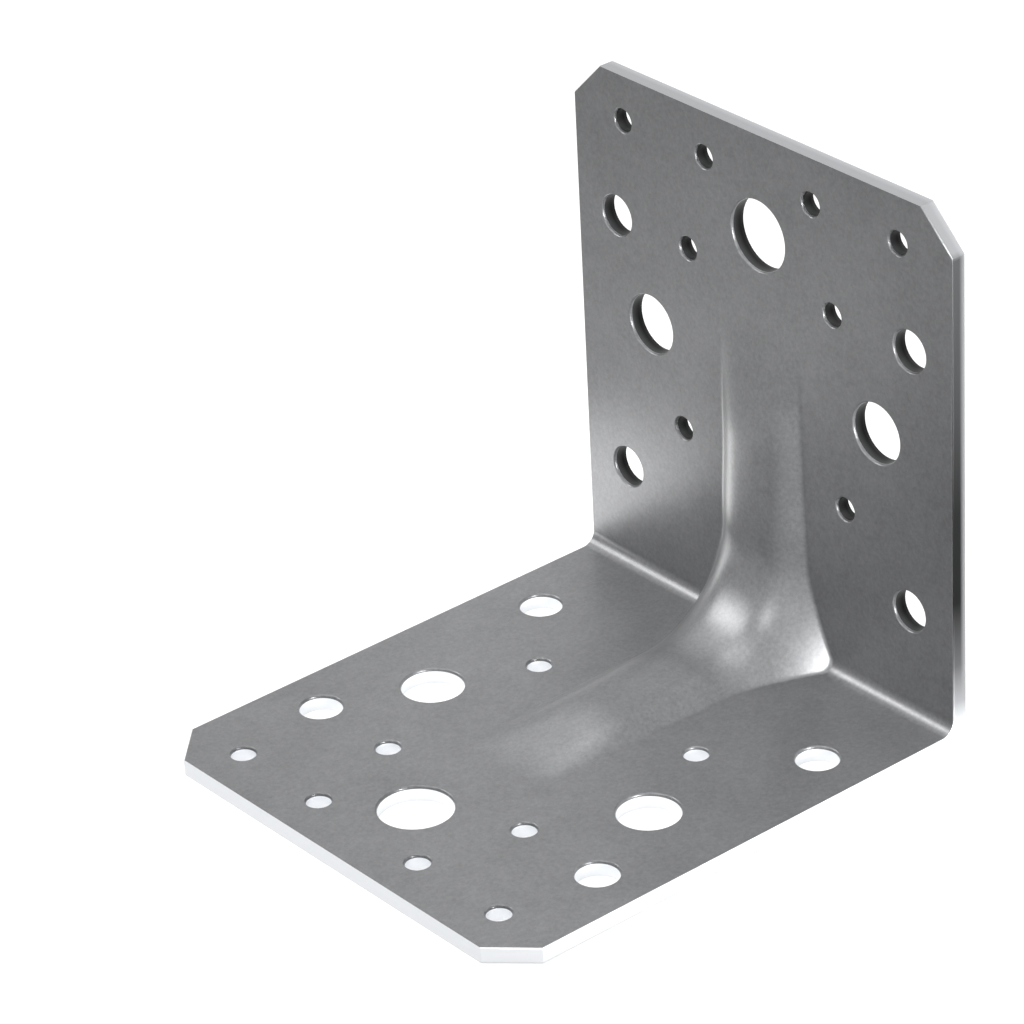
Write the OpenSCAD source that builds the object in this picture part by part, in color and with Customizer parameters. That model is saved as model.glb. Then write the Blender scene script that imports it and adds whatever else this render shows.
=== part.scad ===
// Reinforced angle bracket: one sheet of zinc-coated steel, punched, folded to a right angle
// and pressed into a round-backed stiffening rib across the inside of its bend.
// Millimetres. The flat leg's outer face lies on z = 0 and runs along +x, the upright leg's
// outer face lies on x = 0 and runs up +z, and the width is centred on y = 0.

/* [Sheet] */
// Thickness of the sheet
sheet_t = 3; // [2:0.1:3.6]
// Width of both legs
leg_w = 92; // [84:1:140]
// Height of the upright leg, over its outer faces
upright_h = 99; // [97:0.5:150]
// Length of the flat leg, over its outer faces
flat_len = 101; // [98:0.5:150]
// Inner radius of the bend
bend_r = 2.5; // [1:0.1:4]
// Corner cut off each free corner, measured along both edges
corner_cut = 7; // [2:0.5:8]

/* [Rib] */
// Radius of the rib's round back
rib_r = 18; // [14:0.5:20]
// Rise of the rib's crest above the legs
rib_rise = 2.8; // [2:0.1:4]
// Radius of the crest's sweep round the inside corner
rib_sweep_r = 17; // [12:0.5:24]
// Length of the crest's level stretch on each leg
rib_level = 16; // [8:0.5:28]
// Radius in which the crest then sinks into the leg
rib_sink_r = 100; // [40:5:160]

/* [Holes] */
// Diameter of the nail holes
nail_d = 4.3; // [3:0.1:6]
// Diameter of the screw holes
screw_d = 7.5; // [5:0.1:9]
// Diameter of the bolt holes
bolt_d = 11; // [9:0.1:13]
// Diameter of the anchor hole
anchor_d = 13; // [9:0.1:15]

/* [Hole rows, from the leg's free edge] */
// End row of four nail holes
end_row = 8.5; // [6:0.25:9]
// Anchor hole
anchor_row = 18.75; // [18:0.25:22]
// Row of two screw and two nail holes
screw_row = 27.25; // [26:0.25:32]
// Row of two bolt holes
bolt_row = 45.5; // [42:0.25:50]
// Row of two nail holes beside the rib
rib_row = 63; // [60:0.25:66]
// Row of two screw holes beside the bend
bend_row = 76.5; // [75:0.25:78]

/* [Hole spacings, across the leg] */
// Outer nail holes of the end row
end_outer_gap = 67; // [60:0.5:70]
// Inner nail holes of the end row
end_inner_gap = 26; // [22:0.5:40]
// Screw holes of the screw row
screw_gap = 72; // [66:0.5:73]
// Nail holes of the screw row
screw_nail_gap = 35.5; // [30:0.5:42]
// Bolt holes
bolt_gap = 56; // [50:0.5:60]
// Nail holes beside the rib
rib_nail_gap = 40.5; // [38:0.5:50]
// Screw holes beside the bend
bend_screw_gap = 71; // [64:0.5:72]

/* [Hidden] */
$fn = 96;
zinc_grey = [0.56, 0.57, 0.58];
// Cuts reach this far past the surfaces that they open
past = 1;
bend_outer_r = bend_r + sheet_t;
// The crest's sweep turns about this point, at the same distance from both legs
sweep_c = sheet_t + rib_rise + rib_sweep_r;
// Turn in which the sinking crest passes through the sheet
sink_turn = acos(1 - (rib_rise + 2 * sheet_t) / rib_sink_r);
// Each hole of one leg: its diameter, its distance from the free edge and its row's spacing
HOLES = [
    [nail_d, end_row, end_outer_gap],
    [nail_d, end_row, end_inner_gap],
    [screw_d, screw_row, screw_gap],
    [nail_d, screw_row, screw_nail_gap],
    [bolt_d, bolt_row, bolt_gap],
    [nail_d, rib_row, rib_nail_gap],
    [screw_d, bend_row, bend_screw_gap],
    [anchor_d, anchor_row, 0],
];

// Turns a profile, drawn with x away from the axis, about an axis along y
module turn_about_y(from, turn) {
    rotate([90, 0, 0])
        rotate_extrude(start = from, angle = turn)
            children();
}

// Area inside the outer faces of both legs, in the side view
module outer_area() {
    translate([bend_outer_r, bend_outer_r])
        circle(r = bend_outer_r);
    translate([bend_outer_r, 0])
        square([flat_len - bend_outer_r, bend_outer_r]);
    translate([0, bend_outer_r])
        square([flat_len, upright_h - bend_outer_r]);
}

// Area between the legs, in the side view
module inner_area() {
    translate([bend_outer_r, bend_outer_r])
        circle(r = bend_r);
    translate([bend_outer_r, sheet_t])
        square([flat_len, bend_r + past]);
    translate([sheet_t, bend_outer_r])
        square([flat_len, upright_h]);
}

// A side view area, as wide as the legs
module across_width() {
    translate([0, leg_w / 2, 0])
        rotate([90, 0, 0])
            linear_extrude(leg_w)
                children();
}

// Outline of one leg in plan, from the corner, with its free corners cut off
module leg_outline(length) {
    half_w = leg_w / 2;
    polygon([
        [0, -half_w],
        [length - corner_cut, -half_w],
        [length, corner_cut - half_w],
        [length, half_w - corner_cut],
        [length - corner_cut, half_w],
        [0, half_w],
    ]);
}

// Puts a plan of the upright leg, drawn with x along the leg, on that leg
module on_upright() {
    mirror([1, 0, -1])
        children();
}

// Block that trims both legs to their outlines
module leg_trim() {
    intersection() {
        linear_extrude(upright_h)
            leg_outline(flat_len);
        on_upright()
            linear_extrude(flat_len)
                leg_outline(upright_h);
    }
}

// Folded sheet with its free corners cut
module folded_sheet() {
    intersection() {
        across_width()
            difference() {
                outer_area();
                inner_area();
            }
        leg_trim();
    }
}

// Round corner of the rib: its back sweeps from leg to leg, and its sides run out past the bend
module rib_corner(back_r) {
    turn_about_y(180, 90) {
        translate([rib_sweep_r + rib_r, 0])
            circle(r = back_r);
        translate([rib_sweep_r + rib_r, -back_r])
            square([sweep_c, 2 * back_r]);
    }
}

// Rib on the flat leg, from the end of the corner: level at first, then sinking into the leg
module rib_arm(back_r) {
    translate([0, 0, -rib_sweep_r - rib_r])
        rotate([0, 90, 0])
            cylinder(r = back_r, h = rib_level);
    translate([rib_level, 0, -rib_sweep_r - rib_sink_r])
        turn_about_y(90 - sink_turn, sink_turn)
            translate([rib_sink_r - rib_r, 0])
                circle(r = back_r);
}

// Whole run of the rib, as a bar that reaches out past the sheet's outer faces
module rib_run(back_r) {
    translate([sweep_c, 0, sweep_c]) {
        rib_corner(back_r);
        rib_arm(back_r);
        on_upright()
            rib_arm(back_r);
    }
}

// Punch tools for one leg's holes, in the plan of the leg
module leg_holes(length) {
    for (hole = HOLES)
        for (side = hole[2] > 0 ? [-1, 1] : [0])
            translate([length - hole[1], side * hole[2] / 2, -past])
                cylinder(d = hole[0], h = sheet_t + 2 * past);
}

// The bracket: folded sheet, raised rib, the groove behind it, and the punched holes
module angle_bracket() {
    color(zinc_grey)
        difference() {
            union() {
                folded_sheet();
                intersection() {
                    across_width()
                        outer_area();
                    rib_run(rib_r);
                }
            }
            rib_run(rib_r - sheet_t);
            leg_holes(flat_len);
            on_upright()
                leg_holes(upright_h);
        }
}

angle_bracket();
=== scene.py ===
"""A reinforced angle bracket of zinc-coated sheet steel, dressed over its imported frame.

The bracket is made in the order of the real one: a flat blank is cut to its outline, punched,
pressed into its stiffening rib and folded. Lengths are in metres, in the frame's own axes: the
flat leg runs along +X, the upright leg up +Z, and Y crosses the width.
"""

import logging
import math
from dataclasses import dataclass, field
from enum import Enum
from typing import Callable, Iterable

import bmesh
import bpy
from mathutils import Matrix, Vector


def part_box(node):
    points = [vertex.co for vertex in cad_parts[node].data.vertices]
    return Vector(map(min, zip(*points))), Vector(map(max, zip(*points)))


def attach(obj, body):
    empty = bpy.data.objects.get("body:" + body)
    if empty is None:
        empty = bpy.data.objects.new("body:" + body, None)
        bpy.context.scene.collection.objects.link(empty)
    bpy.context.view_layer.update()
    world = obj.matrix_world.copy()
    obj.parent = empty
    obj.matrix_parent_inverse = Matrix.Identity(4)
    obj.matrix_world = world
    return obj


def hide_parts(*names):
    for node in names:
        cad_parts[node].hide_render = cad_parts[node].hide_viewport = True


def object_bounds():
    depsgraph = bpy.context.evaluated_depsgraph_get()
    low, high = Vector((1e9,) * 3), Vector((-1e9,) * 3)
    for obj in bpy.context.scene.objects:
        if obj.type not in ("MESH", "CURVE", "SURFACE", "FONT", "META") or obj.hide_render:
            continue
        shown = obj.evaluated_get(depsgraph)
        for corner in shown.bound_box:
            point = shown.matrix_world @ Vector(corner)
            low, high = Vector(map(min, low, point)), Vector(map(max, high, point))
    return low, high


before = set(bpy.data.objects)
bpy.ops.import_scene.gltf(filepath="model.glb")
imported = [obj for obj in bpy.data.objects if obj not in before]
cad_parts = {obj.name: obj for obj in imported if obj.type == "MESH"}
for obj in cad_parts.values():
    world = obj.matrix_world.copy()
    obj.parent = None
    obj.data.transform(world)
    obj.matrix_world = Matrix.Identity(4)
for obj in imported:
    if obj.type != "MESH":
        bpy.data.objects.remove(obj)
CAD_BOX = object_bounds()

MM = 0.001
# Lengths below this one count as none
TINY = 1e-7
# Slack in comparing places on the mesh
SLACK = 1e-6
# A face looks along an axis when its normal's share along it is over this one
FACING = 0.5
# Height over the floor over which the greys of the bare edges, with their painted reflection and
# shade, run
HEIGHT_SPAN = 0.1
# Depth of the grain's bump
GRAIN_DEPTH = 0.05 * MM
# The slightly cool tint of the sheet's greys
TINT = (0.983, 1.0, 1.026)
WHITE = (1.0, 1.0, 1.0, 1.0)
NODE = "angle_bracket"
BODY = "root"

Triple = tuple[float, float, float]

log = logging.getLogger("angle_bracket")


class Leg(Enum):
    """The two legs of the bracket, by the way that each runs along the flat blank."""

    FLAT = 1
    UPRIGHT = -1


class Surface(Enum):
    """The material slots of the bracket's mesh, by index."""

    ZINC = 0
    SHEARED = 1
    PUNCHED = 2


def ease(share: float) -> float:
    """Eases a share in and out.

    Args:
        share: The share, which is held between 0 and 1.

    Returns:
        The eased share.
    """
    share = min(max(share, 0.0), 1.0)
    return share * share * (3 - 2 * share)


@dataclass(frozen=True)
class SheetSize:
    """Sizes of the folded sheet.

    Attributes:
        thickness: Thickness of the sheet.
        bend_r: Inner radius of the bend.
        corner_cut: Length cut off each free corner, along both edges.
        edge_round: Rounding of the edges along the legs and at the cut corners. The edges of the
            legs' ends are sharp.
        edge_steps: Faces across that rounding.
        flat_len: Length of the flat leg, over the outer faces.
        upright_h: Height of the upright leg, over the outer faces.
        width: Width of both legs.
    """

    thickness: float = 3.0 * MM
    bend_r: float = 2.5 * MM
    corner_cut: float = 7.0 * MM
    edge_round: float = 0.30 * MM
    edge_steps: int = 3
    flat_len: float = 0.0
    upright_h: float = 0.0
    width: float = 0.0

    @classmethod
    def from_frame(cls, node: str) -> "SheetSize":
        """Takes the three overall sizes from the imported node.

        Args:
            node: Name of the CAD node.

        Returns:
            The sheet's sizes.
        """
        low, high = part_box(node)
        return cls(flat_len=high[0], upright_h=high[2], width=high[1] - low[1])

    @property
    def outer_r(self) -> float:
        """Outer radius of the bend."""
        return self.bend_r + self.thickness

    @property
    def half_bend(self) -> float:
        """Half of the blank's length that goes into the bend, along its middle layer."""
        return math.pi / 4 * (self.bend_r + self.thickness / 2)

    def reach(self, leg: Leg) -> float:
        """Length of the blank from the bend's middle to a leg's free edge."""
        length = self.flat_len if leg is Leg.FLAT else self.upright_h
        return length - self.outer_r + self.half_bend

    def along(self, leg: Leg, from_corner: float) -> float:
        """Place on the blank of a point on a leg.

        Args:
            leg: The leg that the point is on.
            from_corner: Its distance from the corner of the two outer faces.

        Returns:
            The signed distance from the bend's middle, along the blank.
        """
        return leg.value * (from_corner - self.outer_r + self.half_bend)


@dataclass(frozen=True)
class RibSize:
    """Sizes of the pressed rib.

    Attributes:
        flat_half: Half width of its nearly flat back.
        fold: Softness of the fold from the back to a flank.
        flank_slope: Slope of the flanks beside the fold.
        flank_curve: Half of what that slope gains in each metre across.
        rise: Rise of its crest above the legs.
        swell: What the rise gains on the way to the corner.
        swell_from: Distance from the corner at which that starts.
        sweep_r: Radius of the crest's sweep round the inside corner, without the swell.
        fade_from: Distance from the corner at which the rise starts to fade on a leg.
        fade_to: Distance from the corner at which it has gone.
        foot: Height over which the foot blends into the sheet.
        field_half: Half width of the finely divided field that is pressed.
        past_tip: Length of that field past the rib's tip.
        foot_band: Half width of the band about the foot in which the field's lines gather.
        band_shares: Shares of the field's half width that become that band's two sides.
        margin: Least distance of the band from the field's side.
    """

    flat_half: float = 5.5 * MM
    fold: float = 2.4 * MM
    flank_slope: float = 0.45
    flank_curve: float = 46.0
    rise: float = 2.8 * MM
    swell: float = 0.6 * MM
    swell_from: float = 40.0 * MM
    sweep_r: float = 17.0 * MM
    fade_from: float = 41.0 * MM
    fade_to: float = 64.0 * MM
    foot: float = 0.45 * MM
    field_half: float = 17.6 * MM
    past_tip: float = 0.5 * MM
    foot_band: float = 1.2 * MM
    band_shares: tuple[float, float] = (0.50, 0.86)
    margin: float = 0.1 * MM

    def _past_fold(self, across: float) -> float:
        """How far a place lies past the soft fold.

        Args:
            across: Its distance from the crest's line, across the rib.

        Returns:
            The distance, which eases in from 0.
        """
        sharp = across - self.flat_half
        return (sharp + math.hypot(sharp, self.fold)) / 2

    def drop(self, across: float) -> float:
        """Drop of the rib's face below its crest.

        Args:
            across: Distance from the crest's line, across the rib.

        Returns:
            The drop.
        """
        past = self._past_fold(abs(across)) - self._past_fold(0.0)
        return self.flank_slope * past + self.flank_curve * past * past

    def half_at(self, drop: float) -> float:
        """Half width of the rib at a drop below its crest.

        Args:
            drop: The drop.

        Returns:
            The half width.
        """
        slope, curve = self.flank_slope, self.flank_curve
        root = math.sqrt(slope * slope + 4 * curve * max(drop, 0.0))
        past = (root - slope) / (2 * curve) + self._past_fold(0.0)
        return max(self.flat_half + past - self.fold * self.fold / (4 * past), 0.0)


@dataclass(frozen=True)
class HoleRow:
    """A row of one or two equal holes across a leg.

    Attributes:
        diameter: Diameter of the holes.
        from_edge: Distance of the row from the leg's free edge.
        gap: Distance between the two holes, or 0 for one hole on the centreline.
    """

    diameter: float
    from_edge: float
    gap: float = 0.0

    def offsets(self) -> list[float]:
        """Places of the row's holes across the leg."""
        return [0.0] if self.gap == 0 else [-self.gap / 2, self.gap / 2]


@dataclass(frozen=True)
class PunchSize:
    """What the punch and the die leave at each hole.

    Attributes:
        roll: Width of the rolled rim on the side that the punch enters.
        roll_depth: Depth of that rim.
        roll_turn: Turn of the rim's section, in degrees.
        roll_steps: Faces along that section.
        break_out: Flare of the hole on the far side.
        break_depth: Depth of the flare.
        lift: Height over the sheet up to which the punch widens on.
        past: How far the punch reaches past both faces.
        steps: Faces round a hole.
    """

    roll: float = 0.32 * MM
    roll_depth: float = 0.55 * MM
    roll_turn: float = 74.0
    roll_steps: int = 5
    break_out: float = 0.22 * MM
    break_depth: float = 0.9 * MM
    lift: float = 0.1 * MM
    past: float = 1.0 * MM
    steps: int = 56


# Diameters of the four kinds of hole
NAIL, SCREW, BOLT, ANCHOR = 4.3 * MM, 7.5 * MM, 11.0 * MM, 13.0 * MM
HOLE_ROWS = (
    HoleRow(NAIL, 8.5 * MM, 67.0 * MM),
    HoleRow(NAIL, 8.5 * MM, 26.0 * MM),
    HoleRow(ANCHOR, 18.75 * MM),
    HoleRow(SCREW, 27.25 * MM, 72.0 * MM),
    HoleRow(NAIL, 27.25 * MM, 35.5 * MM),
    HoleRow(BOLT, 45.5 * MM, 56.0 * MM),
    HoleRow(NAIL, 63.0 * MM, 40.5 * MM),
    HoleRow(SCREW, 76.5 * MM, 71.0 * MM),
)


class Graph:
    """A small layer over a node tree that adds and joins nodes."""

    def __init__(self, tree: bpy.types.NodeTree) -> None:
        """Keeps the tree.

        Args:
            tree: The node tree to build in.
        """
        self.tree = tree

    def put(self, node: bpy.types.Node, inputs: dict) -> None:
        """Gives a node's inputs their values.

        Args:
            node: The node.
            inputs: Values or output sockets for its inputs, by name or index.
        """
        for key, value in inputs.items():
            if isinstance(value, bpy.types.NodeSocket):
                self.tree.links.new(value, node.inputs[key])
            else:
                node.inputs[key].default_value = value

    def add(self, kind: str, inputs: dict | None = None, **settings: object) -> bpy.types.Node:
        """Adds a node.

        Args:
            kind: The node's type name, without its ShaderNode prefix.
            inputs: Values or output sockets for its inputs, by name or index.
            **settings: Properties of the node.

        Returns:
            The new node.
        """
        node = self.tree.nodes.new("ShaderNode" + kind)
        for name, value in settings.items():
            setattr(node, name, value)
        self.put(node, inputs or {})
        return node

    def math(self, operation: str, *values: object) -> bpy.types.NodeSocket:
        """Adds a math node.

        Args:
            operation: The operation's name.
            *values: Numbers or sockets for its inputs.

        Returns:
            Its result.
        """
        return self.add("Math", dict(enumerate(values)), operation=operation).outputs[0]

    def remap(
        self,
        value: bpy.types.NodeSocket,
        source: tuple[float, float],
        target: tuple[float, float],
    ) -> bpy.types.NodeSocket:
        """Maps a value from one range to another, with its ends held.

        Args:
            value: The value.
            source: Its range.
            target: What the two ends of that range become.

        Returns:
            The mapped value.
        """
        names = ("From Min", "From Max", "To Min", "To Max")
        inputs = {"Value": value, **dict(zip(names, (*source, *target)))}
        return self.add("MapRange", inputs).outputs["Result"]

    def noise(self, place: bpy.types.NodeSocket, settings: Triple) -> bpy.types.NodeSocket:
        """Adds a noise texture.

        Args:
            place: The position that it reads.
            settings: Its scale, detail and roughness.

        Returns:
            Its value.
        """
        names = ("Scale", "Detail", "Roughness")
        inputs = {"Vector": place, **dict(zip(names, settings))}
        return self.add("TexNoise", inputs).outputs["Fac"]


def grey(level: float) -> tuple[float, float, float]:
    """Gives the slightly cool grey of the sheet at a level.

    Args:
        level: Its green, which is also its middle.

    Returns:
        The colour.
    """
    return tuple(level * part for part in TINT)


def shared_group(
    name: str,
    outputs: tuple[str, ...],
    fill: Callable[[Graph, bpy.types.NodeSocket], tuple[bpy.types.NodeSocket, ...]],
) -> bpy.types.ShaderNodeTree:
    """Builds a node group once, for all the materials that share it.

    Args:
        name: Name of the group.
        outputs: Names of its outputs.
        fill: Builds its nodes on the position that it is given, and returns the outputs' values.

    Returns:
        The group, whose one input is a position.
    """
    if name in bpy.data.node_groups:
        return bpy.data.node_groups[name]
    group = bpy.data.node_groups.new(name, "ShaderNodeTree")
    group.interface.new_socket("Position", in_out="INPUT", socket_type="NodeSocketVector")
    for output in outputs:
        group.interface.new_socket(output, in_out="OUTPUT", socket_type="NodeSocketFloat")
    source = group.nodes.new("NodeGroupInput")
    sink = group.nodes.new("NodeGroupOutput")
    values = fill(Graph(group), source.outputs["Position"])
    for output, value in zip(outputs, values):
        group.links.new(value, sink.inputs[output])
    return group


def sheet_place(graph: Graph, place: bpy.types.NodeSocket) -> tuple[bpy.types.NodeSocket, ...]:
    """Measures where a point lies on the sheet, for its bare edges, whose greys by height are
    painted reflection and shade.

    Args:
        graph: The tree to build in.
        place: The point.

    Returns:
        The height over the floor, as a share of HEIGHT_SPAN, and the depth, which is 0 on the
        outer faces and 1 on the inner ones.
    """
    parts = graph.add("SeparateXYZ", {"Vector": place}).outputs
    height = graph.math("MULTIPLY", parts["Z"], 1 / HEIGHT_SPAN)
    nearest = graph.math("MINIMUM", parts["X"], parts["Z"])
    return height, graph.math("MULTIPLY", nearest, 1 / SheetSize.thickness)


@dataclass(frozen=True)
class GrainSize:
    """Sizes of the grain that the whole sheet shares.

    Attributes:
        broad: Scale, detail and roughness of the broad mottle.
        middle: Scale, detail and roughness of the finer mottle.
        fine: Scale, detail and roughness of the speckle.
        flake_scale: Scale of the zinc's flakes.
        noise_span: Range of the noises that makes the whole of the mottle.
        mask_span: The mottle's own range.
        broad_share: Share of the broad mottle in the mottle.
        flake_share: What the flakes add to the height.
    """

    broad: Triple = (60.0, 3.0, 0.6)
    middle: Triple = (420.0, 2.0, 0.55)
    fine: Triple = (1500.0, 3.0, 0.7)
    flake_scale: float = 900.0
    noise_span: tuple[float, float] = (0.3, 0.7)
    mask_span: tuple[float, float] = (-0.5, 0.5)
    broad_share: float = 0.6
    flake_share: float = 0.5


def zinc_grain(graph: Graph, place: bpy.types.NodeSocket) -> tuple[bpy.types.NodeSocket, ...]:
    """Makes the grain that every zinc-coated or bare face shares.

    Args:
        graph: The tree to build in.
        place: The position that it reads.

    Returns:
        A mottle mask, a speckle mask and a height.
    """
    size = GrainSize()
    broad, middle = (
        graph.remap(graph.noise(place, settings), size.noise_span, size.mask_span)
        for settings in (size.broad, size.middle)
    )
    pattern = {"Vector": place, "Scale": size.flake_scale, "Randomness": 1.0}
    flakes = graph.add("TexVoronoi", pattern)
    mottle = graph.math(
        "ADD",
        graph.math("MULTIPLY", broad, size.broad_share),
        graph.math("MULTIPLY", middle, 1 - size.broad_share),
    )
    speckle = graph.math("SUBTRACT", graph.noise(place, size.fine), 0.5)
    raised = graph.math("MULTIPLY", flakes.outputs["Distance"], size.flake_share)
    return mottle, speckle, graph.math("ADD", speckle, raised)


class Coat:
    """A material that has the sheet's grain and waits for its colour and roughness."""

    def __init__(self, name: str, metallic: float, bump: float) -> None:
        """Starts the material.

        Args:
            name: Its name.
            metallic: How metallic it is.
            bump: Strength of the grain's bump.
        """
        self.material = bpy.data.materials.new(name)
        self.material.use_nodes = True
        self.graph = Graph(self.material.node_tree)
        self.place = self.graph.add("TexCoord").outputs["Object"]
        outputs = ("Mottle", "Speckle", "Height")
        self.grain = self.read(shared_group("zinc_grain", outputs, zinc_grain))
        relief = {"Strength": bump, "Distance": GRAIN_DEPTH, "Height": self.grain["Height"]}
        normal = self.graph.add("Bump", relief).outputs["Normal"]
        self._put({"Metallic": metallic, "Normal": normal})

    def _put(self, inputs: dict) -> None:
        """Gives inputs of the shader their values.

        Args:
            inputs: Values or output sockets, by the inputs' names.
        """
        self.graph.put(self.material.node_tree.nodes["Principled BSDF"], inputs)

    def read(self, group: bpy.types.ShaderNodeTree) -> "bpy.types.bpy_prop_collection":
        """Reads a shared group at the material's own position.

        Args:
            group: The group.

        Returns:
            Its outputs, by name.
        """
        return self.graph.add("Group", {"Position": self.place}, node_tree=group).outputs

    def finish(
        self, colour: bpy.types.NodeSocket, roughness: bpy.types.NodeSocket | float
    ) -> bpy.types.Material:
        """Gives the material its colour and roughness.

        Args:
            colour: The colour.
            roughness: The roughness.

        Returns:
            The material.
        """
        self._put({"Base Color": colour, "Roughness": roughness})
        return self.material


@dataclass(frozen=True)
class ZincFinish:
    """The zinc coating of the sheet's faces.

    Attributes:
        name: Name of the material.
        level: Its grey level.
        mottle: How far the mottle lightens and darkens it.
        speckle: How far the speckle does.
        metallic: How metallic it is.
        roughness: Its middle roughness.
        roughness_spread: How far the roughness varies with the mottle.
        bump: Strength of the grain's bump.
    """

    name: str = "zinc_coat"
    level: float = 0.135
    mottle: float = 0.22
    speckle: float = 0.8
    metallic: float = 0.35
    roughness: float = 0.33
    roughness_spread: float = 0.06
    bump: float = 0.12

    def material(self) -> bpy.types.Material:
        """Builds the material.

        Returns:
            The material.
        """
        coat = Coat(self.name, self.metallic, self.bump)
        graph, grain = coat.graph, coat.grain
        mottle = graph.math("MULTIPLY", grain["Mottle"], self.mottle)
        speckle = graph.math("MULTIPLY", grain["Speckle"], self.speckle)
        shade = graph.math("ADD", graph.math("ADD", mottle, speckle), 1.0)
        inputs = {0: grey(self.level), "Scale": shade}
        colour = graph.add("VectorMath", inputs, operation="SCALE").outputs["Vector"]
        spread = graph.math("MULTIPLY", grain["Mottle"], self.roughness_spread)
        return coat.finish(colour, graph.math("ADD", spread, self.roughness))


@dataclass(frozen=True)
class BareSteelAndPaintedLight:
    """Bare steel, where the sheet was sheared or punched, with painted reflection and shade: its
    grey changes with the height over the floor, standing in for the light that the edges catch.

    Attributes:
        name: Name of the material.
        steel_and_painted_light_levels: Its greys, each with the height over the floor that has it;
            how they change with height is painted reflection and shade.
        zone_level: Grey level of a lighter zone beside one of the faces.
        zone_from: Depth at which that zone starts.
        zone_to: Depth at which it is full.
        metallic: How metallic it is.
        roughness: Its roughness.
        bump: Strength of the grain's bump.
    """

    name: str
    steel_and_painted_light_levels: tuple[tuple[float, float], ...]
    zone_level: float
    zone_from: float
    zone_to: float
    metallic: float = 1.0
    roughness: float = 0.5
    bump: float = 0.15

    def material(self) -> bpy.types.Material:
        """Builds the material.

        Returns:
            The material.
        """
        coat = Coat(self.name, self.metallic, self.bump)
        graph = coat.graph
        spot = coat.read(shared_group("sheet_place", ("Height", "Depth"), sheet_place))
        # Painted reflection and shade: the grey follows the height over the floor
        painted_light_ramp = graph.add("ValToRGB", {"Fac": spot["Height"]})
        stops = painted_light_ramp.color_ramp.elements
        while len(stops) < len(self.steel_and_painted_light_levels):
            stops.new(1.0)
        for stop, (height, level) in zip(stops, self.steel_and_painted_light_levels):
            stop.position = height / HEIGHT_SPAN
            stop.color = (*grey(level), 1.0)
        zone = graph.remap(spot["Depth"], (self.zone_from, self.zone_to), (0.0, 1.0))
        colours = {"Fac": zone, 1: painted_light_ramp.outputs["Color"], 2: (*grey(self.zone_level), 1.0)}
        lighter = graph.add("MixRGB", colours, blend_type="LIGHTEN").outputs["Color"]
        return coat.finish(lighter, self.roughness)


# The sheared steel of the outline, with painted reflection and shade by height: light along the
# flat leg, painted as the white floor's reflection, dark low on the upright leg as painted shade,
# and lighter again at its end
OUTLINE_STEEL_AND_PAINTED_LIGHT = BareSteelAndPaintedLight(
    name="sheared_steel_painted_light",
    steel_and_painted_light_levels=(
        (3.0 * MM, 0.72),
        (9.0 * MM, 0.30),
        (16.0 * MM, 0.10),
        (28.0 * MM, 0.010),
        (45.0 * MM, 0.015),
        (65.0 * MM, 0.05),
        (91.5 * MM, 0.08),
        (92.5 * MM, 0.24),
    ),
    zone_level=0.30,
    zone_from=0.45,
    zone_to=0.05,
)
# The punched steel inside the holes, with painted reflection and shade by height: light on the flat
# leg, painted as the white floor's reflection, and dark on the upright leg as painted shade
HOLE_STEEL_AND_PAINTED_LIGHT = BareSteelAndPaintedLight(
    name="punched_steel_painted_light",
    steel_and_painted_light_levels=((3.5 * MM, 0.88), (12.0 * MM, 0.008)),
    zone_level=0.04,
    zone_from=0.35,
    zone_to=0.75,
)


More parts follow.
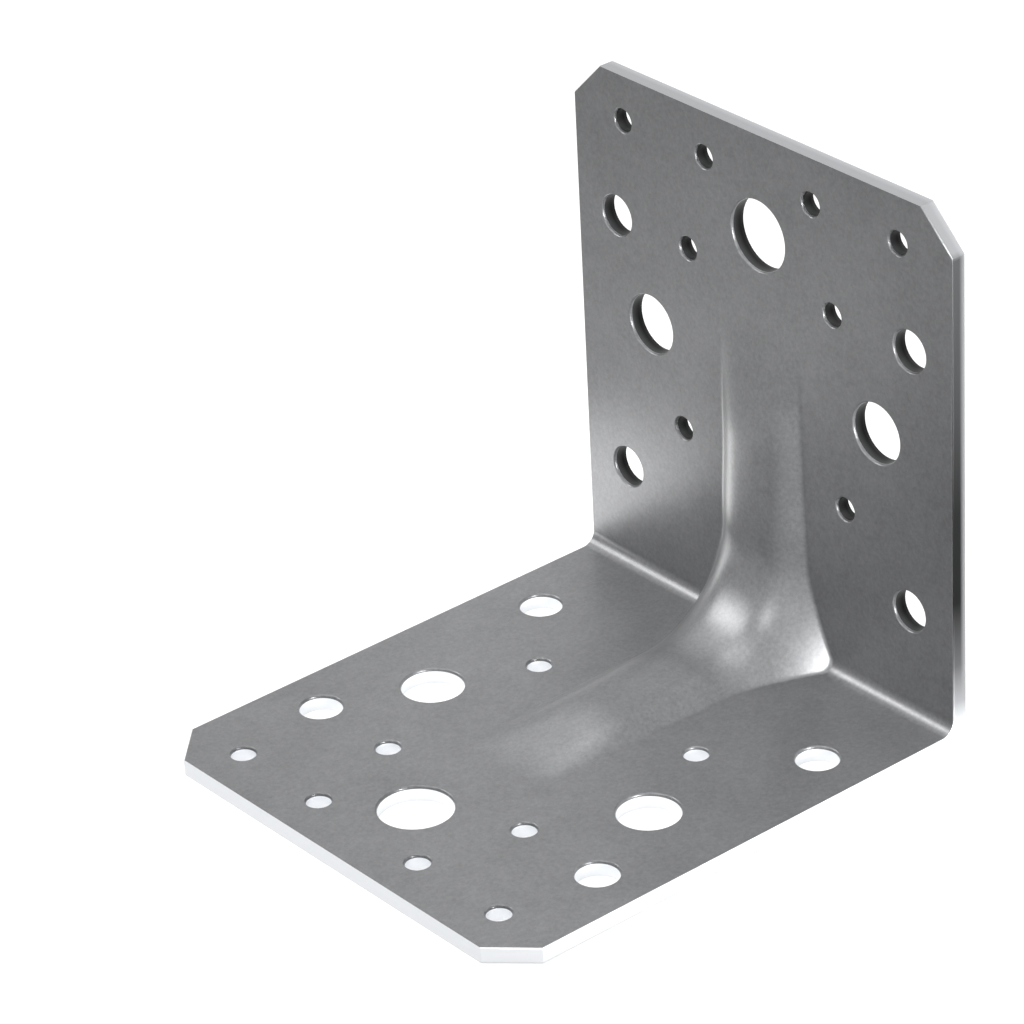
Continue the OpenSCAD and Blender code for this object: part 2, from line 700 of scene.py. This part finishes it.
@dataclass
class AngleBracket:
    """The bracket: one sheet, cut, punched, pressed and folded.

    Attributes:
        sheet: Sizes of the sheet.
        rib: Sizes of the rib.
        punch: What the punch leaves at each hole.
        rows: The rows of holes, the same on both legs.
        bend_lines: Lines across the blank in the bend.
        field_lines: Lines along the pressed field, across its width.
        field_step: Spacing of the lines across the pressed field.
        sharp_angle: Least angle in degrees at which an edge shows as sharp.
        strong_faces: Weight of the large faces in the shading, where 50 is neutral.
    """

    sheet: SheetSize
    rib: RibSize = field(default_factory=RibSize)
    punch: PunchSize = field(default_factory=PunchSize)
    rows: tuple[HoleRow, ...] = HOLE_ROWS
    bend_lines: int = 16
    field_lines: int = 72
    field_step: float = 0.55 * MM
    sharp_angle: float = 38.0
    strong_faces: int = 100

    def blank(self) -> bmesh.types.BMesh:
        """Cuts the flat blank to its outline and divides it where it will be shaped.

        Returns:
            A mesh of the blank, with its upper face on z = 0.
        """
        sheet, rib = self.sheet, self.rib
        bm = bmesh.new()
        bmesh.ops.create_grid(bm, x_segments=1, y_segments=1, size=0.5)
        total = sheet.reach(Leg.FLAT) + sheet.reach(Leg.UPRIGHT)
        bmesh.ops.scale(bm, vec=(total, sheet.width, 1.0), verts=bm.verts)
        shift = (sheet.reach(Leg.FLAT) - sheet.reach(Leg.UPRIGHT)) / 2
        bmesh.ops.translate(bm, vec=(shift, 0.0, 0.0), verts=bm.verts)
        self._cut_corners(bm)
        for index in range(self.bend_lines + 1):
            place = sheet.half_bend * (2 * index / self.bend_lines - 1)
            self._line(bm, bm.faces, (place, 0, 0), (1, 0, 0))
        for side in (-1, 1):
            self._line(bm, bm.faces, (0, side * rib.field_half, 0), (0, 1, 0))
        for leg in Leg:
            end = sheet.along(leg, rib.fade_to + rib.past_tip)
            self._line(bm, self._field_faces(bm), (end, 0, 0), (1, 0, 0))
        self._divide_field(bm)
        return bm

    def _cut_corners(self, bm: bmesh.types.BMesh) -> None:
        """Cuts the blank's four free corners off.

        Args:
            bm: The blank.
        """
        half_w = self.sheet.width / 2
        for leg in Leg:
            start = self.sheet.reach(leg) - self.sheet.corner_cut
            for side in (-1, 1):
                bmesh.ops.bisect_plane(
                    bm,
                    geom=bm.verts[:] + bm.edges[:] + bm.faces[:],
                    plane_co=(leg.value * start, side * half_w, 0),
                    plane_no=(leg.value, side, 0),
                    clear_outer=True,
                )

    @staticmethod
    def _line(
        bm: bmesh.types.BMesh, faces: Iterable[bmesh.types.BMFace], place: Triple, normal: Triple
    ) -> None:
        """Draws a straight line across some faces.

        Args:
            bm: The blank.
            faces: The faces that the line divides.
            place: A point on the line.
            normal: The direction across the line.
        """
        faces = list(faces)
        edges = {edge for face in faces for edge in face.edges}
        verts = {vert for face in faces for vert in face.verts}
        geom = [*verts, *edges, *faces]
        bmesh.ops.bisect_plane(bm, geom=geom, plane_co=place, plane_no=normal)

    @staticmethod
    def _level(edge: bmesh.types.BMEdge, axis: int) -> bool:
        """Tells whether both ends of an edge lie at the same place along an axis.

        Args:
            edge: The edge.
            axis: 0 for X or 1 for Y.

        Returns:
            Whether they do.
        """
        first, second = edge.verts
        return abs(first.co[axis] - second.co[axis]) < TINY

    @staticmethod
    def _middle(face: bmesh.types.BMFace, axis: int) -> float:
        """Measures how far a face's middle lies from the blank's own, along an axis.

        Args:
            face: The face.
            axis: 0 for X or 1 for Y.

        Returns:
            The distance.
        """
        return abs(face.calc_center_median()[axis])

    def _field_faces(self, bm: bmesh.types.BMesh) -> list[bmesh.types.BMFace]:
        """Finds the faces between the field's two side lines.

        Args:
            bm: The blank.

        Returns:
            The faces.
        """
        half = self.rib.field_half / 2
        return [face for face in bm.faces if self._middle(face, 1) < half]

    def _divide_field(self, bm: bmesh.types.BMesh) -> None:
        """Divides the field that is pressed into small faces.

        Args:
            bm: The blank.
        """
        sheet, rib = self.sheet, self.rib
        tip = max(abs(sheet.along(leg, rib.fade_to + rib.past_tip)) for leg in Leg)
        inside = [face for face in self._field_faces(bm) if self._middle(face, 0) < tip]
        long_edges = {
            edge
            for face in inside
            for edge in face.edges
            if self._level(edge, 1) and edge.calc_length() > 3 * self.field_step
        }
        cuts = round((tip - sheet.half_bend) / self.field_step)
        bmesh.ops.subdivide_edges(bm, edges=list(long_edges), cuts=cuts, use_grid_fill=True)
        cross_edges = {
            edge
            for edge in bm.edges
            if self._level(edge, 0)
            and abs(edge.calc_length() - 2 * rib.field_half) < SLACK
            and abs(edge.verts[0].co.x) < tip + SLACK
        }
        cuts = self.field_lines - 1
        bmesh.ops.subdivide_edges(bm, edges=list(cross_edges), cuts=cuts, use_grid_fill=True)

    def thicken(self, bm: bmesh.types.BMesh) -> None:
        """Gives the blank its thickness and rounds the edges along the legs and at the cut corners.

        Args:
            bm: The blank.
        """
        result = bmesh.ops.extrude_face_region(bm, geom=bm.faces[:])
        moved = [item for item in result["geom"] if isinstance(item, bmesh.types.BMVert)]
        bmesh.ops.translate(bm, vec=(0, 0, -self.sheet.thickness), verts=moved)
        bmesh.ops.recalc_face_normals(bm, faces=bm.faces)
        walls = [face for face in bm.faces if abs(face.normal.z) < FACING]
        for face in walls:
            face.material_index = Surface.SHEARED.value
        rims = {
            edge
            for face in walls
            if abs(face.normal.y) > FACING
            for edge in face.edges
            if any(abs(other.normal.z) > FACING for other in edge.link_faces)
        }
        bmesh.ops.bevel(
            bm,
            geom=list(rims),
            offset=self.sheet.edge_round,
            offset_type="OFFSET",
            segments=self.sheet.edge_steps,
            profile=0.5,
            affect="EDGES",
            material=-1,
            clamp_overlap=True,
        )

    def punches(self) -> bmesh.types.BMesh:
        """Turns the punches that cut all the holes.

        Returns:
            A mesh of the punches, in place over the flat blank.
        """
        bm = bmesh.new()
        for leg in Leg:
            for row in self.rows:
                along = leg.value * (self.sheet.reach(leg) - row.from_edge)
                for across in row.offsets():
                    self._turn_punch(bm, row.diameter / 2, Vector((along, across, 0)))
        bmesh.ops.recalc_face_normals(bm, faces=bm.faces)
        for face in bm.faces:
            rolled = face.calc_center_median().z > -self.punch.roll_depth
            face.material_index = Surface.ZINC.value if rolled else Surface.PUNCHED.value
        return bm

    def _turn_punch(self, bm: bmesh.types.BMesh, radius: float, place: Vector) -> None:
        """Turns one punch, with the rim that it rolls and the flare of its die.

        Args:
            bm: The mesh that takes the punch.
            radius: Radius of the hole.
            place: Centre of the hole on the blank's upper face.
        """
        punch, depth = self.punch, self.sheet.thickness
        flare = radius + punch.break_out
        profile = [(0.0, -depth - punch.past), (flare, -depth - punch.past), (flare, -depth)]
        profile.append((radius, -depth + punch.break_depth))
        last = math.radians(punch.roll_turn)
        for step in range(punch.roll_steps + 1):
            turn = last * step / punch.roll_steps
            wide = radius + punch.roll * (1 - math.cos(turn))
            profile.append((wide, punch.roll_depth * (math.sin(turn) - 1)))
        slope = punch.roll * math.sin(last) / (punch.roll_depth * math.cos(last))
        wide, high = profile[-1]
        mouth = wide + slope * (punch.lift - high)
        profile += [(mouth, punch.lift), (mouth, punch.past), (0.0, punch.past)]
        verts = [bm.verts.new(place + Vector((across, 0, up))) for across, up in profile]
        edges = [bm.edges.new(pair) for pair in zip(verts, verts[1:])]
        bmesh.ops.spin(
            bm,
            geom=verts + edges,
            cent=place,
            axis=(0, 0, 1),
            angle=math.tau,
            steps=self.punch.steps,
            use_merge=True,
        )
        ring = [vert for vert in bm.verts if (vert.co.xy - place.xy).length < TINY]
        bmesh.ops.remove_doubles(bm, verts=ring, dist=TINY)

    def shape(self, bm: bmesh.types.BMesh) -> None:
        """Presses the rib and folds the sheet.

        Args:
            bm: The punched blank.
        """
        rib = self.rib
        end = rib.fade_to + rib.past_tip + SLACK
        for vert in bm.verts:
            along, across, depth = vert.co.x, vert.co.y, -vert.co.z
            folded = self.fold(along, depth)
            if abs(across) < rib.field_half and max(folded) < end:
                across = self._gather(folded, across, depth)
                folded = self._press(folded, across, depth)
            vert.co = (folded.x, across, folded.y)

    def fold(self, along: float, depth: float) -> Vector:
        """Folds one point of the blank to its place in the side view.

        Args:
            along: Its distance from the bend's middle, along the blank.
            depth: Its depth below the inner face.

        Returns:
            Its X and Z.
        """
        sheet = self.sheet
        straight = abs(along) - sheet.half_bend
        if straight >= 0:
            level = sheet.thickness - depth
            run = sheet.outer_r + straight
            return Vector((run, level)) if along > 0 else Vector((level, run))
        turn = math.pi / 4 * (1 + along / sheet.half_bend)
        middle, reach = sheet.outer_r, sheet.bend_r + depth
        return Vector((middle - reach * math.cos(turn), middle - reach * math.sin(turn)))

    @property
    def sweep_c(self) -> float:
        """Distance of the sweep's centre from both outer faces."""
        return self.sheet.thickness + self.rib.rise + self.rib.sweep_r

    def _ray(self, point: Vector) -> tuple[Vector, Vector]:
        """Finds where the rib is pressed from, for a point of the folded sheet.

        Args:
            point: X and Z of the point.

        Returns:
            The start of the ray, on the line that the crest's sweep follows, and the ray from there
            to the point.
        """
        start = Vector((max(point.x, self.sweep_c), max(point.y, self.sweep_c)))
        if point.x > self.sweep_c:
            start.y = self.sweep_c
        elif point.y > self.sweep_c:
            start.x = self.sweep_c
        return start, point - start

    def _crest_reach(self, point: Vector) -> float:
        """Distance of the crest from the line that its sweep follows.

        Args:
            point: X and Z of a point on the folded sheet.

        Returns:
            The distance, less the swell at the point.
        """
        rib = self.rib
        share = (rib.swell_from - max(point)) / (rib.swell_from - self.sweep_c)
        return rib.sweep_r - rib.swell * ease(share)

    def _gather(self, point: Vector, across: float, depth: float) -> float:
        """Slides a point of the field across, so that the lines gather along the rib's foot.

        Args:
            point: X and Z of the point on the folded sheet.
            across: Its Y on the blank.
            depth: Its depth below the inner face.

        Returns:
            Its new Y.
        """
        rib = self.rib
        reach = self._ray(point)[1].length
        foot = rib.half_at(reach - depth - self._crest_reach(point))
        band_end = min(foot + rib.foot_band, rib.field_half - rib.margin)
        shares = (0.0, *rib.band_shares, 1.0)
        places = (0.0, foot - rib.foot_band, band_end, rib.field_half)
        share = abs(across) / rib.field_half
        for low, high, start, end in zip(shares, shares[1:], places, places[1:]):
            if share <= high:
                gathered = start + (end - start) * (share - low) / (high - low)
                return math.copysign(gathered, across)
        return across

    def _press(self, point: Vector, across: float, depth: float) -> Vector:
        """Presses one point of the folded sheet into the rib.

        Args:
            point: X and Z of the point on the folded sheet.
            across: Its Y.
            depth: Its depth below the inner face.

        Returns:
            Its pressed X and Z.
        """
        rib = self.rib
        start, ray = self._ray(point)
        distance = ray.length
        rise = distance - depth - self._crest_reach(point) - rib.drop(across)
        if rise <= -rib.foot:
            return point
        if rise < rib.foot:
            rise = (rise + rib.foot) ** 2 / (4 * rib.foot)
        fade = (max(point) - rib.fade_from) / (rib.fade_to - rib.fade_from)
        rise *= 1 - ease(fade)
        return start + ray * ((distance - rise) / distance)

    def build(self, materials: list[bpy.types.Material]) -> bpy.types.Object:
        """Makes the bracket's piece and gives it its place in the frame.

        Args:
            materials: The materials, in the order of Surface.

        Returns:
            The bracket.
        """
        blank = self.blank()
        self.thicken(blank)
        piece = self._object("angle_bracket_sheet", blank, materials)
        punches = self._object("hole_punches", self.punches(), materials)
        self._cut(piece, punches)
        bm = bmesh.new()
        bm.from_mesh(piece.data)
        bmesh.ops.remove_doubles(bm, verts=bm.verts, dist=TINY)
        self.shape(bm)
        for face in bm.faces:
            face.smooth = True
        bm.to_mesh(piece.data)
        bm.free()
        piece.data.set_sharp_from_angle(angle=math.radians(self.sharp_angle))
        normals = piece.modifiers.new("level_faces", "WEIGHTED_NORMAL")
        normals.mode = "FACE_AREA"
        normals.weight = self.strong_faces
        normals.keep_sharp = True
        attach(piece, BODY)
        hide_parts(NODE)
        log.info("%s: %d faces", piece.name, len(piece.data.polygons))
        return piece

    @staticmethod
    def _object(
        name: str, bm: bmesh.types.BMesh, materials: list[bpy.types.Material]
    ) -> bpy.types.Object:
        """Makes an object of a mesh.

        Args:
            name: The object's name.
            bm: Its mesh, which is freed.
            materials: Its materials.

        Returns:
            The object.
        """
        mesh = bpy.data.meshes.new(name)
        bm.to_mesh(mesh)
        bm.free()
        for material in materials:
            mesh.materials.append(material)
        piece = bpy.data.objects.new(name, mesh)
        bpy.context.scene.collection.objects.link(piece)
        return piece

    @staticmethod
    def _cut(piece: bpy.types.Object, punches: bpy.types.Object) -> None:
        """Punches the holes and keeps the result as the piece's own mesh.

        Args:
            piece: The blank.
            punches: The punches, which are removed.
        """
        cut = piece.modifiers.new("punch", "BOOLEAN")
        cut.operation = "DIFFERENCE"
        cut.solver = "EXACT"
        cut.object = punches
        shaped = piece.evaluated_get(bpy.context.evaluated_depsgraph_get())
        mesh = bpy.data.meshes.new_from_object(shaped)
        piece.modifiers.remove(cut)
        piece.data = mesh
        bpy.data.objects.remove(punches)


@dataclass(frozen=True)
class SoftBox:
    """A square area light.

    Attributes:
        name: Its name.
        place: Its place.
        aim: The point that it faces.
        size: Length of its side.
        power: Its power in watts.
        spread: Width of its beam in degrees.
    """

    name: str
    place: Triple
    aim: Triple
    size: float
    power: float
    spread: float = 180.0

    def build(self) -> bpy.types.Object:
        """Hangs the light, out of the camera's sight.

        Returns:
            The light.
        """
        light = bpy.data.lights.new(self.name, "AREA")
        light.shape = "SQUARE"
        light.size = self.size
        light.energy = self.power
        light.spread = math.radians(self.spread)
        lamp = bpy.data.objects.new(self.name, light)
        ray = Vector(self.aim) - Vector(self.place)
        lamp.location = self.place
        lamp.rotation_euler = ray.to_track_quat("-Z", "Y").to_euler()
        lamp.visible_camera = False
        bpy.context.scene.collection.objects.link(lamp)
        log.info("light %s", self.name)
        return lamp


@dataclass(frozen=True)
class ViewPoint:
    """The camera, as the photograph shows the bracket.

    Attributes:
        place: The camera's place.
        right: The direction to the right of its picture.
        up: The direction up its picture.
        lens: Focal length in millimetres.
        sensor: Width of the sensor in millimetres.
        near: Distance at which its sight starts.
    """

    place: Triple = (0.50700, 0.55754, 0.45161)
    right: Triple = (-0.76182, 0.64613, -0.04622)
    up: Triple = (-0.34786, -0.34787, 0.87062)
    lens: float = 176.40
    sensor: float = 36.0
    near: float = 0.01

    def build(self) -> bpy.types.Object:
        """Sets the camera up and makes it the scene's own.

        Returns:
            The camera.
        """
        data = bpy.data.cameras.new("photo_camera")
        data.sensor_width = self.sensor
        data.lens = self.lens
        data.clip_start = self.near
        camera = bpy.data.objects.new("photo_camera", data)
        right, up = Vector(self.right), Vector(self.up)
        turn = Matrix((right, up, right.cross(up))).transposed()
        camera.matrix_world = Matrix.Translation(self.place) @ turn.to_4x4()
        bpy.context.scene.collection.objects.link(camera)
        bpy.context.scene.camera = camera
        return camera


# Points that the lights face: the bracket's middle, the rib's corner, and the rib's side on the
# upright leg
MIDDLE = (0.04, 0.0, 0.04)
RIB_CORNER = (0.015, 0.0, 0.018)
RIB_SIDE = (0.005, 0.008, 0.05)


@dataclass
class Studio:
    """The white floor, the white surroundings, the lights and the camera.

    Attributes:
        world_level: Strength of the surroundings' light.
        floor_size: Length of the floor's side.
        floor_grey: Grey of the floor where it throws light back at the bracket.
        floor_glow: White that the floor shows where no light reaches it.
        shadow_share: Part of the light on the floor that shows, and with it the shadow.
        floor_gap: Gap between the bracket's lowest face and the floor.
        boxes: The lights.
        view: The camera.
    """

    world_level: float = 0.08
    floor_size: float = 6.0
    floor_grey: float = 0.12
    floor_glow: float = 0.8
    shadow_share: float = 0.3
    floor_gap: float = 0.02 * MM
    boxes: tuple[SoftBox, ...] = (
        SoftBox("top_box", (0.04, 0.0, 1.04), MIDDLE, 0.8, 6.0),
        SoftBox("back_box", (-0.21, -0.433, 0.906), MIDDLE, 0.8, 4.0),
        SoftBox("rear_box", (-0.6, 0.1, 0.35), MIDDLE, 0.6, 3.0),
        SoftBox("high_key", (0.139, -0.214, 0.266), RIB_CORNER, 0.16, 0.035, 40.0),
        SoftBox("low_key", (0.183, -0.240, 0.209), RIB_CORNER, 0.16, 0.035, 40.0),
        SoftBox("front_box", (0.297, 0.050, 0.219), RIB_CORNER, 0.16, 0.030, 40.0),
        SoftBox("rib_box", (0.031, 0.306, 0.076), RIB_SIDE, 0.14, 0.20, 30.0),
        SoftBox("corner_pool", (0.02, -0.068, 0.002), (0.02, -0.068, 1.0), 0.035, 0.013),
        SoftBox("inner_pool", (0.03, -0.09, 0.002), (0.03, -0.09, 1.0), 0.07, 0.003),
        SoftBox("outer_pool", (0.08, -0.10, 0.002), (0.08, -0.10, 1.0), 0.08, 0.006),
    )
    view: ViewPoint = field(default_factory=ViewPoint)

    def build(self) -> None:
        """Builds the whole studio."""
        self._surroundings()
        self._floor()
        for box in self.boxes:
            box.build()
        self.view.build()
        bpy.context.scene.view_settings.view_transform = "Standard"

    @staticmethod
    def _seen(graph: Graph) -> bpy.types.NodeSocket:
        """Finds the rays that show the background to the camera, or in metal and glass.

        Args:
            graph: The tree to build in.

        Returns:
            1 on those rays, and 0 on the rays that only light the scene.
        """
        path = graph.add("LightPath")
        shown = graph.math("MAXIMUM", path.outputs["Is Camera Ray"], path.outputs["Is Glossy Ray"])
        return graph.math("MAXIMUM", shown, path.outputs["Is Transmission Ray"])

    def _surroundings(self) -> None:
        """Lights the scene evenly and shows white to the camera and in the metal."""
        world = bpy.data.worlds.new("white_surroundings")
        bpy.context.scene.world = world
        world.use_nodes = True
        graph = Graph(world.node_tree)
        lit = world.node_tree.nodes["Background"]
        lit.inputs["Color"].default_value = WHITE
        lit.inputs["Strength"].default_value = self.world_level
        shown = graph.add("Background", {"Color": WHITE, "Strength": 1.0})
        mix = graph.add("MixShader", {0: self._seen(graph), 1: lit.outputs[0], 2: shown.outputs[0]})
        graph.put(world.node_tree.nodes["World Output"], {"Surface": mix.outputs[0]})

    def _floor(self) -> None:
        """Lays the white floor under the flat leg, with a faint shadow."""
        bm = bmesh.new()
        bmesh.ops.create_grid(bm, x_segments=1, y_segments=1, size=self.floor_size / 2)
        bmesh.ops.translate(bm, vec=(0, 0, CAD_BOX[0][2] - self.floor_gap), verts=bm.verts)
        mesh = bpy.data.meshes.new("white_floor")
        bm.to_mesh(mesh)
        bm.free()
        floor = bpy.data.objects.new("white_floor", mesh)
        bpy.context.scene.collection.objects.link(floor)
        material = bpy.data.materials.new("white_floor")
        material.use_nodes = True
        graph = Graph(material.node_tree)
        nodes = material.node_tree.nodes
        nodes.remove(nodes["Principled BSDF"])
        thrown = graph.add("BsdfDiffuse", {"Color": (self.floor_grey,) * 3 + (1,)})
        shade = graph.add("BsdfDiffuse", {"Color": (self.shadow_share,) * 3 + (1,)})
        glow = graph.add("Emission", {"Color": WHITE, "Strength": self.floor_glow})
        shown = graph.add("AddShader", {0: shade.outputs[0], 1: glow.outputs[0]})
        parts = {0: self._seen(graph), 1: thrown.outputs[0], 2: shown.outputs[0]}
        mix = graph.add("MixShader", parts)
        graph.put(nodes["Material Output"], {"Surface": mix.outputs[0]})
        mesh.materials.append(material)


def main() -> None:
    """Builds the bracket and its studio."""
    logging.basicConfig(level=logging.INFO, format="%(message)s")
    materials = [finish.material() for finish in (ZincFinish(), OUTLINE_STEEL_AND_PAINTED_LIGHT, HOLE_STEEL_AND_PAINTED_LIGHT)]
    AngleBracket(SheetSize.from_frame(NODE)).build(materials)
    Studio().build()


if __name__ == "__main__":
    main()
